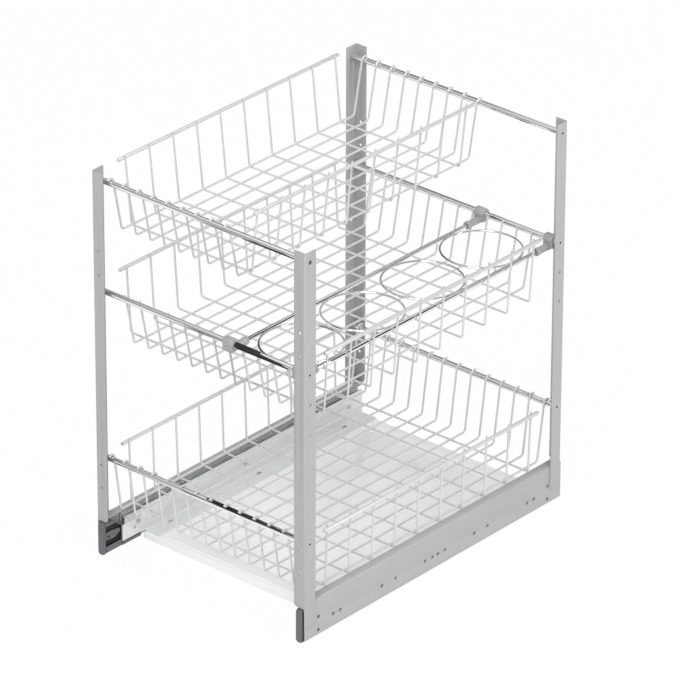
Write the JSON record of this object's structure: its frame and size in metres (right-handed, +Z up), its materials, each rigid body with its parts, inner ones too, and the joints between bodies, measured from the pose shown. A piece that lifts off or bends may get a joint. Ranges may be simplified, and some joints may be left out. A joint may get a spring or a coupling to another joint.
{
  "type": "pull-out basket base cabinet insert",
  "caption": "Pull-out frame of angle posts on ball runners with wire baskets at different heights and a bottle rack, for a kitchen base cabinet.",
  "frame": {"origin": "at floor level, in the middle of the width and of the depth", "axes": "+X to the right as seen from the front, +Y from the front to the back, +Z up; the frame slides out along -Y"},
  "size_m": [0.352, 0.505, 0.5466],
  "materials": {
    "base_plate_white": "gloss",
    "galvanised_steel": "satin",
    "screw_steel": "satin",
    "bearing_steel": "polished",
    "grey_painted_steel": "satin",
    "dark_grey_plastic": "matte",
    "black_plastic": "matte",
    "chrome_steel": "polished",
    "basket_wire": "satin",
    "clip_grey_plastic": "satin"
  },
  "bodies": {
    "base": {"base_plate": "base_plate_white", "runner_bracket_left": "galvanised_steel", "runner_bracket_right": "galvanised_steel", "bracket_screws": "screw_steel", "runner_rivets": "galvanised_steel", "runner_fixed_left": "galvanised_steel", "runner_fixed_right": "galvanised_steel"},
    "inner_ball_set_left": {"inner_cage_left": "bearing_steel", "inner_balls_left": "bearing_steel"},
    "middle_channel_left": {"runner_middle_left": "galvanised_steel"},
    "outer_ball_set_left": {"outer_cage_left": "bearing_steel", "outer_balls_left": "bearing_steel"},
    "inner_ball_set_right": {"inner_cage_right": "bearing_steel", "inner_balls_right": "bearing_steel"},
    "middle_channel_right": {"runner_middle_right": "galvanised_steel"},
    "outer_ball_set_right": {"outer_cage_right": "bearing_steel", "outer_balls_right": "bearing_steel"},
    "frame": {"runner_moving_left": "galvanised_steel", "rail_left": "grey_painted_steel", "end_cap_left": "dark_grey_plastic", "cap_insert_left": "black_plastic", "runner_moving_right": "galvanised_steel", "rail_right": "grey_painted_steel", "end_cap_right": "dark_grey_plastic", "cap_insert_right": "black_plastic", "cap_screws": "screw_steel", "post_front_left": "grey_painted_steel", "post_front_right": "grey_painted_steel", "post_back_left": "grey_painted_steel", "post_back_right": "grey_painted_steel", "crossbar_top_front": "chrome_steel", "crossbar_top_back": "chrome_steel", "crossbar_middle_front": "chrome_steel", "crossbar_middle_back": "chrome_steel", "crossbar_bottom_front": "chrome_steel", "crossbar_bottom_back": "chrome_steel", "bar_screws": "screw_steel", "basket_top": "basket_wire", "basket_middle": "basket_wire", "basket_bottom": "basket_wire", "rack_rods": "chrome_steel", "rack_ring_1": "chrome_steel", "rack_ring_2": "chrome_steel", "rack_ring_3": "chrome_steel", "rack_ring_4": "chrome_steel", "rack_clip_front_inner": "clip_grey_plastic", "rack_clip_front_outer": "clip_grey_plastic", "rack_clip_back_inner": "clip_grey_plastic", "rack_clip_back_outer": "clip_grey_plastic"}
  },
  "joints": [
    {"name": "frame_slide", "type": "slide", "parent": "base", "child": "frame", "axis": [0, -1, 0], "range_m": [0, 0.48]},
    {"name": "outer_ball_set_left_slide", "type": "slide", "parent": "base", "child": "outer_ball_set_left", "axis": [0, -1, 0], "range_m": [0, 0.36]},
    {"name": "middle_channel_left_slide", "type": "slide", "parent": "base", "child": "middle_channel_left", "axis": [0, -1, 0], "range_m": [0, 0.24]},
    {"name": "inner_ball_set_left_slide", "type": "slide", "parent": "base", "child": "inner_ball_set_left", "axis": [0, -1, 0], "range_m": [0, 0.12]},
    {"name": "outer_ball_set_right_slide", "type": "slide", "parent": "base", "child": "outer_ball_set_right", "axis": [0, -1, 0], "range_m": [0, 0.36]},
    {"name": "middle_channel_right_slide", "type": "slide", "parent": "base", "child": "middle_channel_right", "axis": [0, -1, 0], "range_m": [0, 0.24]},
    {"name": "inner_ball_set_right_slide", "type": "slide", "parent": "base", "child": "inner_ball_set_right", "axis": [0, -1, 0], "range_m": [0, 0.12]}
  ],
  "couplings": [
    {"joint": "outer_ball_set_left_slide", "follows": "frame_slide", "ratio": 0.75},
    {"joint": "middle_channel_left_slide", "follows": "frame_slide", "ratio": 0.5},
    {"joint": "inner_ball_set_left_slide", "follows": "frame_slide", "ratio": 0.25},
    {"joint": "outer_ball_set_right_slide", "follows": "frame_slide", "ratio": 0.75},
    {"joint": "middle_channel_right_slide", "follows": "frame_slide", "ratio": 0.5},
    {"joint": "inner_ball_set_right_slide", "follows": "frame_slide", "ratio": 0.25}
  ]
}
